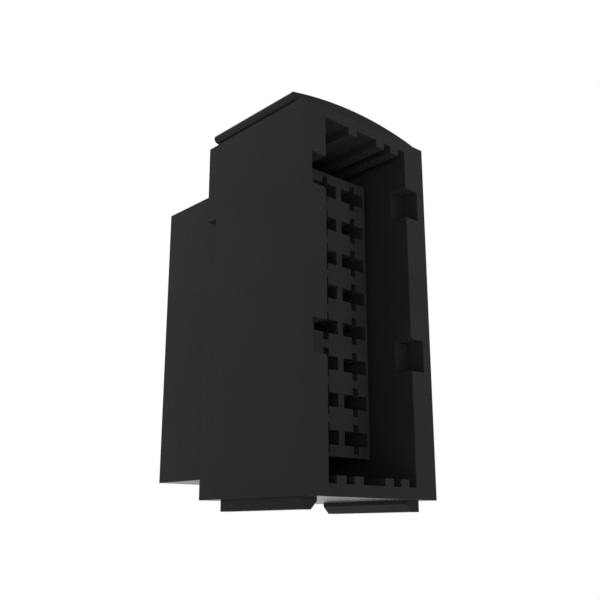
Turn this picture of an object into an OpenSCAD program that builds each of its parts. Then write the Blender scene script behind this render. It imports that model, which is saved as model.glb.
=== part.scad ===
// Connector housing moulded in one piece, empty of contacts. A shroud stands round a recessed contact
// block, a wire-side block carries the terminal chambers on behind it, a domed guide runs along the top
// and two chamfered guide feet run along the bottom. Millimetres. The mouth faces -Y and the feet stand
// on Z = 0.

/* [Contact field] */
// Contact rows, one above the other
rows = 8; // [6:1:12]
// Contact columns, side by side
columns = 2; // [2:1:3]
// Distance between rows
row_pitch = 5; // [4.6:0.1:6]
// Distance between columns
column_pitch = 5.45; // [5:0.05:6.5]
// Width of a contact slot
slot_w = 4.4; // [3:0.1:4.5]
// Height of a contact slot
slot_h = 1.9; // [1:0.1:3]
// Width of the slit that crosses a contact slot
slit_w = 0.95; // [0.6:0.05:2]
// Height of the slit that crosses a contact slot
slit_h = 3.85; // [3.2:0.05:4.2]
// Depth of the crossed opening before it widens into the terminal chamber
opening_d = 8; // [4:0.5:11]

/* [Contact block] */
// Wall between the outer slots and the block's sides
block_side = 0.42; // [0.3:0.02:1]
// Wall between the outer slits and the block's ends
block_end = 0.57; // [0.3:0.01:1.5]
// How far the block's face lies behind the front of the shroud
block_recess = 5.8; // [4:0.1:9]

/* [Shroud] */
// Gap between the block and the mouth's side walls
gap_side = 2.68; // [2:0.02:4]
// Gap between the block and the mouth's ceiling
gap_top = 4.62; // [3:0.02:6]
// Gap between the block and the mouth's floor
gap_bottom = 3.9; // [3:0.05:6]
// Thickness of the side walls
side_wall = 4.05; // [3.2:0.05:6]
// Thickness of the top and bottom walls
end_wall = 1.53; // [1.2:0.01:3]
// Depth of the mouth, to the web that joins shroud and block
mouth_d = 18; // [12:0.5:24]
// Thickness of the web
web_t = 3; // [2.4:0.1:6]

/* [Guide ribs in the mouth] */
// Width of a rib
rib_w = 1.6; // [1:0.1:2]
// Height of a rib
rib_h = 1; // [0.5:0.1:1.8]
// Distance from a side wall to the middle of the outer rib
rib_inset = 2.2; // [1.6:0.01:2.6]
// Distance from the outer rib to the inner rib
rib_spacing = 3.03; // [2.6:0.01:3.6]

/* [Key notches in the rim] */
// Height of a notch
key_h = 4.5; // [3:0.1:6]
// How far a notch reaches into the side wall
key_w = 2.5; // [1:0.1:2.8]
// How far a notch reaches back from the rim
key_d = 3; // [1.5:0.1:5]
// Radius of the notch's one rounded corner
key_r = 0.5; // [0.2:0.05:0.9]
// Distance from the mouth's ceiling to the upper notch
key_drop = 5.75; // [3:0.05:8]
// Distance between the upper and the lower notch, middle to middle
key_spacing = 22.55; // [12:0.05:24]

/* [Latch pockets at the shroud's rear edge] */
// Height of a pocket
pocket_h = 6.8; // [4:0.1:10]
// How far a pocket reaches into the side wall
pocket_w = 2.5; // [1.8:0.1:2.8]
// How far a pocket reaches forward from the rear edge
pocket_d = 2; // [1:0.1:2.2]
// Distance from the top of the shroud to the pocket
pocket_drop = 11.8; // [6:0.05:20]

/* [Wire-side block] */
// Wall between the outer chambers and the block's sides
rear_side = 1.85; // [1:0.05:2.4]
// Wall between the outer chambers and the block's ends
rear_end = 2.75; // [1:0.05:3.5]
// How far the block stands out behind the shroud
rear_d = 18.35; // [10:0.05:26]
// Chamfer round the mouth of each terminal chamber
lead_in = 0.3; // [0.1:0.05:0.35]

/* [Guides] */
// Distance from the front of the shroud to both guides
guide_setback = 2; // [0.5:0.1:4]
// Distance from the shroud's side to a foot
foot_inset = 1.4; // [0.5:0.1:3]
// Width of a foot
foot_w = 2.55; // [2:0.05:4]
// Height of a foot
foot_h = 1.5; // [1:0.1:3]
// Chamfer along the inner lower edge of a foot
foot_chamfer = 1; // [0.3:0.1:1.2]
// Length of the feet
foot_l = 16; // [8:0.5:17]
// Length of the domed guide
dome_l = 17.5; // [8:0.5:18]
// Radius of the dome
dome_r = 58.7; // [40:0.1:120]
// Thickness of the dome's rounded lip
lip_t = 1.3; // [0.6:0.05:2]
// How far the lip overhangs the shroud's side
lip_overhang = 0.34; // [0.1:0.02:1.5]
// Angle round the lip, above level, at which the dome's arc takes over
lip_turn = 55; // [40:5:70]
// Height of the groove under the lip
groove_h = 0.46; // [0.3:0.02:2]
// Depth of the groove, in from the shroud's side
groove_w = 0.4; // [0.2:0.1:3]

/* [Hidden] */
$fn = 64;

// How far a cut runs past the face that it opens, and a guide into the wall that carries it
over = 0.5;

// The contact field is what the slots and slits of all the contacts span
field_w = (columns - 1) * column_pitch + slot_w;
field_h = (rows - 1) * row_pitch + slit_h;
block_w = field_w + 2 * block_side;
block_h = field_h + 2 * block_end;
mouth_w = block_w + 2 * gap_side;
mouth_h = block_h + gap_bottom + gap_top;
shroud_w = mouth_w + 2 * side_wall;
shroud_h = mouth_h + 2 * end_wall;
shroud_d = mouth_d + web_t;
rear_w = field_w + 2 * rear_side;
rear_h = field_h + 2 * rear_end;
total_d = shroud_d + rear_d;

// Heights above the underside of the shroud
ceiling_z = end_wall + mouth_h;
field_z = end_wall + gap_bottom + block_h / 2;
key_upper_z = ceiling_z - key_drop - key_h / 2;
pocket_z = shroud_h - pocket_drop - pocket_h;

// The lip is a round about lip_x, lip_z, and the dome's arc leaves it at arc_x, arc_z
lip_r = lip_t / 2;
lip_x = shroud_w / 2 + lip_overhang - lip_r;
lip_z = shroud_h + groove_h + lip_r;
arc_x = lip_x + lip_r * cos(lip_turn);
arc_z = lip_z + lip_r * sin(lip_turn);
dome_z = arc_z - sqrt(pow(dome_r, 2) - pow(arc_x, 2));

// Carries a profile, drawn as seen from the front, back from depth y over the length l
module along_depth(y, l) {
    translate([0, y + l, 0]) rotate([90, 0, 0]) linear_extrude(l) children();
}

// Place of a contact, across the housing and above the underside of the shroud
function contact_x(column) = (column - (columns - 1) / 2) * column_pitch;
function contact_z(row) = field_z + (row - (rows - 1) / 2) * row_pitch;

// Repeats a profile at every contact, seen from the front
module at_contacts() {
    for (column = [0 : columns - 1], row = [0 : rows - 1])
        translate([contact_x(column), contact_z(row)]) children();
}

// Guide rib on the mouth's floor, at x from the middle
module rib_profile(x) {
    translate([x - rib_w / 2, -over]) square([rib_w, rib_h + over]);
}

// Mouth of the shroud with its ribs. The ceiling leaves out the left outer rib, so that the plug fits
// only one way up.
module mouth_profile() {
    outer_x = mouth_w / 2 - rib_inset;
    inner_x = outer_x - rib_spacing;
    difference() {
        translate([-mouth_w / 2, end_wall]) square([mouth_w, mouth_h]);
        for (x = [-outer_x, -inner_x, inner_x, outer_x]) translate([0, end_wall]) rib_profile(x);
        for (x = [-inner_x, inner_x, outer_x]) translate([0, ceiling_z]) mirror([0, 1]) rib_profile(x);
    }
}

// Key notch in the right wall of the rim, about its own middle, with its upper corner rounded
module key_profile() {
    translate([mouth_w / 2 - over, -key_h / 2]) square([key_w + over, key_h]);
    translate([mouth_w / 2, key_h / 2]) difference() {
        translate([-over, -over]) square(key_r + over);
        translate([key_r, key_r]) circle(key_r);
    }
}

// Contact opening: a flat slot crossed by an upright slit
module contact_profile() {
    square([slot_w, slot_h], center = true);
    square([slit_w, slit_h], center = true);
}

// Guide foot on the right, with its inner lower edge chamfered
module foot_profile() {
    inner_x = shroud_w / 2 - foot_inset - foot_w;
    outer_x = inner_x + foot_w;
    polygon([[inner_x, over], [outer_x, over], [outer_x, -foot_h], [inner_x + foot_chamfer, -foot_h],
        [inner_x, foot_chamfer - foot_h]]);
}

// Domed guide: a plate under a shallow arc, with rounded lips that overhang a groove on either side
module dome_profile() {
    intersection() {
        translate([0, dome_z]) circle(dome_r, $fn = 360);
        union() {
            translate([-lip_x, lip_z - lip_r]) square([2 * lip_x, dome_r]);
            for (side = [-1, 1]) translate([side * lip_x, lip_z]) circle(lip_r);
        }
    }
    neck_w = shroud_w - 2 * groove_w;
    translate([-neck_w / 2, shroud_h - over]) square([neck_w, groove_h + lip_r + over]);
}

// Flare at the rear mouth of a terminal chamber, about the chamber's axis, with its narrow end at y = 0
module chamber_flare() {
    function flare(size) = [[0, -size / 2], [0, size / 2], [lead_in, size / 2 + lead_in],
        [lead_in + over, size / 2 + lead_in + over], [lead_in + over, -size / 2 - lead_in - over],
        [lead_in, -size / 2 - lead_in]];
    reach = 2 * (slot_w + slit_h);
    intersection() {
        rotate([0, 0, 90]) linear_extrude(reach, center = true) polygon(flare(slot_w));
        rotate([90, 0, 90]) linear_extrude(reach, center = true) polygon(flare(slit_h));
    }
}

// Everything solid: the open shroud, the block in its mouth, the block behind it and the guides
module moulding() {
    difference() {
        along_depth(0, shroud_d) translate([-shroud_w / 2, 0]) square([shroud_w, shroud_h]);
        along_depth(-over, mouth_d + over) mouth_profile();
    }
    along_depth(block_recess, shroud_d - block_recess)
        translate([-block_w / 2, field_z - block_h / 2]) square([block_w, block_h]);
    along_depth(mouth_d + over, total_d - mouth_d - over)
        translate([-rear_w / 2, field_z - rear_h / 2]) square([rear_w, rear_h]);
    for (side = [0, 1]) mirror([side, 0, 0]) along_depth(guide_setback, foot_l) foot_profile();
    along_depth(guide_setback, dome_l) dome_profile();
}

// Everything cut away: contact openings, terminal chambers, key notches and latch pockets
module cuts() {
    chamber_y = block_recess + opening_d;
    along_depth(block_recess - over, opening_d + 2 * over) at_contacts() contact_profile();
    along_depth(chamber_y, total_d + over - chamber_y)
        at_contacts() square([slot_w, slit_h], center = true);
    for (column = [0 : columns - 1], row = [0 : rows - 1])
        translate([contact_x(column), total_d - lead_in, contact_z(row)]) chamber_flare();
    along_depth(-over, key_d + over)
        for (z = [key_upper_z, key_upper_z - key_spacing], turn = [0, 180])
            translate([0, z]) rotate(turn) key_profile();
    for (side = [0, 1]) mirror([side, 0, 0])
        translate([shroud_w / 2 - pocket_w, shroud_d - pocket_d, pocket_z])
            cube([pocket_w + over, pocket_d + over, pocket_h]);
}

module housing() {
    color([0.17, 0.165, 0.16])
        translate([0, -total_d / 2, foot_h])
            difference() {
                moulding();
                cuts();
            }
}

housing();
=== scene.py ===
"""Looks of an empty connector housing: one moulding in matt black nylon, in a white studio."""

import math

import bpy
import numpy as np
from bpy.props import FloatProperty, FloatVectorProperty, PointerProperty
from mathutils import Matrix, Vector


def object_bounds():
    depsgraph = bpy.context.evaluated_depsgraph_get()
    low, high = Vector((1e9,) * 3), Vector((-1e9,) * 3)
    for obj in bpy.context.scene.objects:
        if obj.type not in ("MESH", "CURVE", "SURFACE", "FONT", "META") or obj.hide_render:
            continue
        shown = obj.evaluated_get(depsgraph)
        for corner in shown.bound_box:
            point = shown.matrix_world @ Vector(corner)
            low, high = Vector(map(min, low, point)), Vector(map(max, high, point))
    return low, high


bl_info = {
    "name": "Connector Housing Looks",
    "version": (1, 0, 0),
    "blender": (4, 5, 0),
    "location": "View3D > Sidebar > Housing",
    "description": "Gives a moulded connector housing its plastic finish and sets up a white studio round it",
    "category": "Object",
}

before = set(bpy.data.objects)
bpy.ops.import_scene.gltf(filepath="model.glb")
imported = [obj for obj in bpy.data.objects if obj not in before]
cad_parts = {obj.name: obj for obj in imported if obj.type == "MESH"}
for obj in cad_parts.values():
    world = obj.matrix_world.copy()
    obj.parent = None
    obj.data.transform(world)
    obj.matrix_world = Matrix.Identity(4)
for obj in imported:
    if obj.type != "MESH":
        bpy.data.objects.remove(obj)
CAD_LOW, CAD_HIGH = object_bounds()
CAD_MIDDLE = (CAD_LOW + CAD_HIGH) / 2

MM = 0.001
WHITE = (1.0, 1.0, 1.0, 1.0)

# The floor lies this far under the feet, so that the two never share a plane
FLOOR_GAP = 0.05 * MM
FLOOR_RINGS = 6
FLOOR_SECTORS = 96

# A noise texture's values lie mostly between these two
NOISE_LOW = 0.3
NOISE_HIGH = 0.7


def linear(code):
    """Linear RGB of an sRGB hex code.

    A channel v gives v / 12.92 up to 0.04045, and ((v + 0.055) / 1.055) to the power 2.4 above that.
    """
    channels = [int(code[i:i + 2], 16) / 255 for i in (1, 3, 5)]
    return [v / 12.92 if v <= 0.04045 else ((v + 0.055) / 1.055) ** 2.4 for v in channels]


def opaque(colour):
    """A colour with full alpha, as a shader's colour socket takes it."""
    return (*colour, 1.0)


class PlasticFinish(bpy.types.PropertyGroup):
    """Finish of the moulding."""

    colour: FloatVectorProperty(
        name="Colour", description="Colour of the plastic",
        subtype="COLOR", size=3, min=0, max=1, default=linear("#272624"))
    flow_colour: FloatVectorProperty(
        name="Flow colour", description="Slightly paler colour in the marks that the melt's flow leaves",
        subtype="COLOR", size=3, min=0, max=1, default=linear("#2e2d2b"))
    flow: FloatProperty(
        name="Flow marks", description="Width of those faint marks",
        subtype="DISTANCE", unit="LENGTH", min=0.1 * MM, default=9 * MM)
    roughness: FloatProperty(
        name="Roughness", description="Mean roughness of the matt surface",
        subtype="FACTOR", min=0, max=1, default=0.26)
    roughness_change: FloatProperty(
        name="Roughness change", description="How far the roughness rises and falls from pit to pit",
        subtype="FACTOR", min=0, max=1, default=0.06)
    gloss: FloatProperty(
        name="Gloss", description="Level of the mirrored light, which is 0.5 on polished plastic",
        subtype="FACTOR", min=0, max=1, default=0.04)
    grain: FloatProperty(
        name="Grain", description="Distance between the pits of the eroded tool surface",
        subtype="DISTANCE", unit="LENGTH", min=0.01 * MM, default=0.4 * MM)
    grain_depth: FloatProperty(
        name="Grain depth", description="Depth of those pits",
        subtype="DISTANCE", unit="LENGTH", min=0, default=0.02 * MM)


class WhiteStudio(bpy.types.PropertyGroup):
    """Floor, light and camera."""

    floor_colour: FloatVectorProperty(
        name="Floor colour", description="Colour of the pale floor",
        subtype="COLOR", size=3, min=0, max=1, default=linear("#f4f4f2"))
    floor_glow: FloatProperty(
        name="Floor glow", description="Light that the floor gives off by itself, as a light table does",
        min=0, max=1, default=0.72)
    floor_radius: FloatProperty(
        name="Floor radius", description="Radius of the round floor",
        subtype="DISTANCE", unit="LENGTH", min=0, default=900 * MM)
    ambient: FloatProperty(
        name="Ambient light", description="Strength of the even light from all round",
        min=0, max=2, default=0.255)
    key_power: FloatProperty(
        name="Key light", description="Power of the large soft lamp above and in front",
        unit="POWER", min=0, default=0.28)
    key_place: FloatVectorProperty(
        name="Key place", description="Place of the key lamp, from the middle of the object",
        subtype="TRANSLATION", unit="LENGTH", size=3, default=(28 * MM, -280 * MM, 476 * MM))
    key_size: FloatProperty(
        name="Key size", description="Side of the square key lamp",
        subtype="DISTANCE", unit="LENGTH", min=0, default=280 * MM)
    fill_power: FloatProperty(
        name="Fill light", description="Power of the low lamp by the camera, which reaches into the mouth",
        unit="POWER", min=0, default=0.076)
    fill_place: FloatVectorProperty(
        name="Fill place", description="Place of the fill lamp, from the middle of the object",
        subtype="TRANSLATION", unit="LENGTH", size=3, default=(-167 * MM, -186 * MM, -13 * MM))
    fill_size: FloatProperty(
        name="Fill size", description="Side of the square fill lamp",
        subtype="DISTANCE", unit="LENGTH", min=0, default=60 * MM)
    lens_angle: FloatProperty(
        name="Lens angle", description="Field of view of the camera",
        subtype="ANGLE", unit="ROTATION", min=0.1, max=2, default=math.radians(40))
    camera_place: FloatVectorProperty(
        name="Camera", description="Place of the camera, a little under the level of the feet",
        subtype="TRANSLATION", unit="LENGTH", size=3, default=(-77.82 * MM, -92.46 * MM, -2.68 * MM))
    camera_turn: FloatProperty(
        name="Camera turn", description="How far the camera looks to the right of straight in",
        subtype="ANGLE", unit="ROTATION", default=math.radians(41.84))
    camera_rise: FloatProperty(
        name="Camera rise", description="How far the camera looks upwards",
        subtype="ANGLE", unit="ROTATION", default=math.radians(15.773))


def add_node(tree, kind, inputs=None, **settings):
    """Adds one node with its own settings. Inputs maps a socket to a value or to another node's output."""
    made = tree.nodes.new(kind)
    for name, value in settings.items():
        setattr(made, name, value)
    for socket, value in (inputs or {}).items():
        if isinstance(value, bpy.types.NodeSocket):
            tree.links.new(value, made.inputs[socket])
        else:
            made.inputs[socket].default_value = value
    return made


def new_material(name):
    """An empty node material and its tree."""
    material = bpy.data.materials.new(name)
    material.use_nodes = True
    material.node_tree.nodes.clear()
    return material, material.node_tree


def moulded_nylon(finish):
    """Glass-filled nylon from a spark-eroded tool: near black, matt, finely grained, with faint flow marks.

    The eye sees a soft dark surface that turns pale only where it is looked along, because the pits scatter
    most of the light that a polished part would mirror. The real grain is about 0.1 mm, too fine for the
    picture, so it is drawn at the finish's larger spacing.
    """
    material, tree = new_material("moulded_black_nylon")
    place = add_node(tree, "ShaderNodeTexCoord").outputs["Object"]
    flow = add_node(
        tree, "ShaderNodeTexNoise",
        {"Vector": place, "Scale": 1 / finish.flow, "Detail": 2.0, "Roughness": 0.5}).outputs["Fac"]
    pits = add_node(
        tree, "ShaderNodeTexNoise",
        {"Vector": place, "Scale": 1 / finish.grain, "Detail": 3.0, "Roughness": 0.6}).outputs["Fac"]
    colour = add_node(
        tree, "ShaderNodeMix",
        {"Factor": flow, "A": opaque(finish.colour), "B": opaque(finish.flow_colour)}, data_type="RGBA")
    rough = add_node(
        tree, "ShaderNodeMapRange",
        {"Value": pits, "From Min": NOISE_LOW, "From Max": NOISE_HIGH,
         "To Min": finish.roughness - finish.roughness_change,
         "To Max": finish.roughness + finish.roughness_change})
    bump = add_node(
        tree, "ShaderNodeBump", {"Strength": 1.0, "Distance": finish.grain_depth, "Height": pits})
    plastic = add_node(
        tree, "ShaderNodeBsdfPrincipled",
        {"Base Color": colour.outputs["Result"], "Roughness": rough.outputs["Result"],
         "IOR": 1.5, "Specular IOR Level": finish.gloss, "Normal": bump.outputs["Normal"]})
    add_node(tree, "ShaderNodeOutputMaterial", {"Surface": plastic.outputs["BSDF"]})
    return material


class HOUSING_OT_dress(bpy.types.Operator):
    """Give the moulding its plastic"""

    bl_idname = "housing.dress"
    bl_label = "Dress the housing"

    def execute(self, context):
        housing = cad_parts["housing"]
        housing.data.materials.clear()
        housing.data.materials.append(moulded_nylon(context.scene.plastic_finish))
        return {"FINISHED"}


def ray_kinds(tree):
    """Light Path's outputs, and one that is 1 for a ray that something mirrors or lets through."""
    rays = add_node(tree, "ShaderNodeLightPath").outputs
    mirrored = add_node(
        tree, "ShaderNodeMath",
        {0: rays["Is Glossy Ray"], 1: rays["Is Transmission Ray"]}, operation="MAXIMUM")
    return rays, mirrored.outputs[0]


def pale_floor(studio):
    """Matt white light table. It shows its upper side only, and mirrors in the object as plain white."""
    material, tree = new_material("pale_floor")
    rays, mirrored = ray_kinds(tree)
    side = add_node(tree, "ShaderNodeNewGeometry").outputs["Backfacing"]
    from_below = add_node(tree, "ShaderNodeMath", {0: rays["Is Camera Ray"], 1: side}, operation="MULTIPLY")
    matt = add_node(tree, "ShaderNodeBsdfDiffuse", {"Color": opaque(studio.floor_colour)})
    glow = add_node(tree, "ShaderNodeEmission", {"Color": WHITE, "Strength": studio.floor_glow})
    table = add_node(tree, "ShaderNodeAddShader", {0: matt.outputs["BSDF"], 1: glow.outputs["Emission"]})
    white = add_node(tree, "ShaderNodeEmission", {"Color": WHITE, "Strength": 1.0})
    clear = add_node(tree, "ShaderNodeBsdfTransparent")
    upper = add_node(
        tree, "ShaderNodeMixShader", {0: mirrored, 1: table.outputs["Shader"], 2: white.outputs["Emission"]})
    both = add_node(
        tree, "ShaderNodeMixShader",
        {0: from_below.outputs["Value"], 1: upper.outputs["Shader"], 2: clear.outputs["BSDF"]})
    add_node(tree, "ShaderNodeOutputMaterial", {"Surface": both.outputs["Shader"]})
    return material


def white_world(studio):
    """White to the camera and in reflections, and an even, weaker light on matt surfaces."""
    world = bpy.data.worlds.new("white_studio")
    world.use_nodes = True
    tree = world.node_tree
    tree.nodes.clear()
    rays, mirrored = ray_kinds(tree)
    seen = add_node(tree, "ShaderNodeMath", {0: rays["Is Camera Ray"], 1: mirrored}, operation="MAXIMUM")
    ambient = add_node(tree, "ShaderNodeBackground", {"Color": WHITE, "Strength": studio.ambient})
    white = add_node(tree, "ShaderNodeBackground", {"Color": WHITE, "Strength": 1.0})
    mix = add_node(
        tree, "ShaderNodeMixShader",
        {0: seen.outputs["Value"], 1: ambient.outputs["Background"], 2: white.outputs["Background"]})
    add_node(tree, "ShaderNodeOutputWorld", {"Surface": mix.outputs["Shader"]})
    return world


def disc(radius, rings, sectors):
    """A flat disc of rings and sectors: x = r cos t, y = r sin t, with r and t on an even grid."""
    r = np.linspace(radius / rings, radius, rings)
    t = np.linspace(0, 2 * math.pi, sectors, endpoint=False)
    grid = np.stack([np.outer(r, np.cos(t)), np.outer(r, np.sin(t)), np.zeros((rings, sectors))], -1)
    points = np.concatenate([np.zeros((1, 3)), grid.reshape(-1, 3)])
    here = np.arange(sectors)
    after = np.roll(here, -1)
    inner = np.stack([np.zeros(sectors, int), 1 + here, 1 + after], 1)
    start = (1 + sectors * np.arange(rings - 1))[:, None]
    quads = np.stack([start + here, start + sectors + here, start + sectors + after, start + after], -1)
    return points, inner.tolist() + quads.reshape(-1, 4).tolist()


def lay_floor(scene, studio):
    """Lays the round floor under the feet."""
    points, faces = disc(studio.floor_radius, FLOOR_RINGS, FLOOR_SECTORS)
    points[:, 2] = CAD_LOW.z - FLOOR_GAP
    mesh = bpy.data.meshes.new("floor")
    mesh.from_pydata(points.tolist(), [], faces)
    mesh.materials.append(pale_floor(studio))
    floor = bpy.data.objects.new("floor", mesh)
    scene.collection.objects.link(floor)


def hang_lamp(scene, name, place, size, power):
    """Hangs a square soft lamp at a place counted from the middle of the object, which it faces."""
    light = bpy.data.lights.new(name, "AREA")
    light.size = size
    light.energy = power
    lamp = bpy.data.objects.new(name, light)
    lamp.location = CAD_MIDDLE + place
    lamp.rotation_euler = (-place).to_track_quat("-Z", "Y").to_euler()
    scene.collection.objects.link(lamp)


def set_camera(scene, studio):
    """Sets the camera: a level look straight into the mouth, tipped upwards and turned to the right."""
    lens = bpy.data.cameras.new("camera")
    lens.angle = studio.lens_angle
    lens.clip_start = 1 * MM
    camera = bpy.data.objects.new("camera", lens)
    camera.location = studio.camera_place
    camera.rotation_euler = (math.pi / 2 + studio.camera_rise, 0, -studio.camera_turn)
    scene.collection.objects.link(camera)
    scene.camera = camera


class HOUSING_OT_stage(bpy.types.Operator):
    """Set up the floor, the light and the camera"""

    bl_idname = "housing.stage"
    bl_label = "Set up the studio"

    def execute(self, context):
        scene = context.scene
        studio = scene.white_studio
        lay_floor(scene, studio)
        scene.world = white_world(studio)
        hang_lamp(scene, "key_lamp", studio.key_place, studio.key_size, studio.key_power)
        hang_lamp(scene, "fill_lamp", studio.fill_place, studio.fill_size, studio.fill_power)
        set_camera(scene, studio)
        scene.view_settings.view_transform = "Standard"
        return {"FINISHED"}


class HOUSING_PT_panel(bpy.types.Panel):
    """Lists what makes up the picture"""

    bl_label = "Housing"
    bl_idname = "HOUSING_PT_panel"
    bl_space_type = "VIEW_3D"
    bl_region_type = "UI"
    bl_category = "Housing"

    def draw(self, context):
        for settings, operator in (("plastic_finish", HOUSING_OT_dress), ("white_studio", HOUSING_OT_stage)):
            group = getattr(context.scene, settings)
            box = self.layout.box()
            box.operator(operator.bl_idname)
            for name in group.__annotations__:
                box.prop(group, name)


CLASSES = (PlasticFinish, WhiteStudio, HOUSING_OT_dress, HOUSING_OT_stage, HOUSING_PT_panel)


def register():
    """Adds the classes and their settings to Blender."""
    for each in CLASSES:
        bpy.utils.register_class(each)
    bpy.types.Scene.plastic_finish = PointerProperty(type=PlasticFinish)
    bpy.types.Scene.white_studio = PointerProperty(type=WhiteStudio)


def unregister():
    """Takes them out again."""
    del bpy.types.Scene.white_studio
    del bpy.types.Scene.plastic_finish
    for each in reversed(CLASSES):
        bpy.utils.unregister_class(each)


def main():
    """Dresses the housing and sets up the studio."""
    register()
    bpy.ops.housing.dress()
    bpy.ops.housing.stage()


if __name__ == "__main__":
    main()
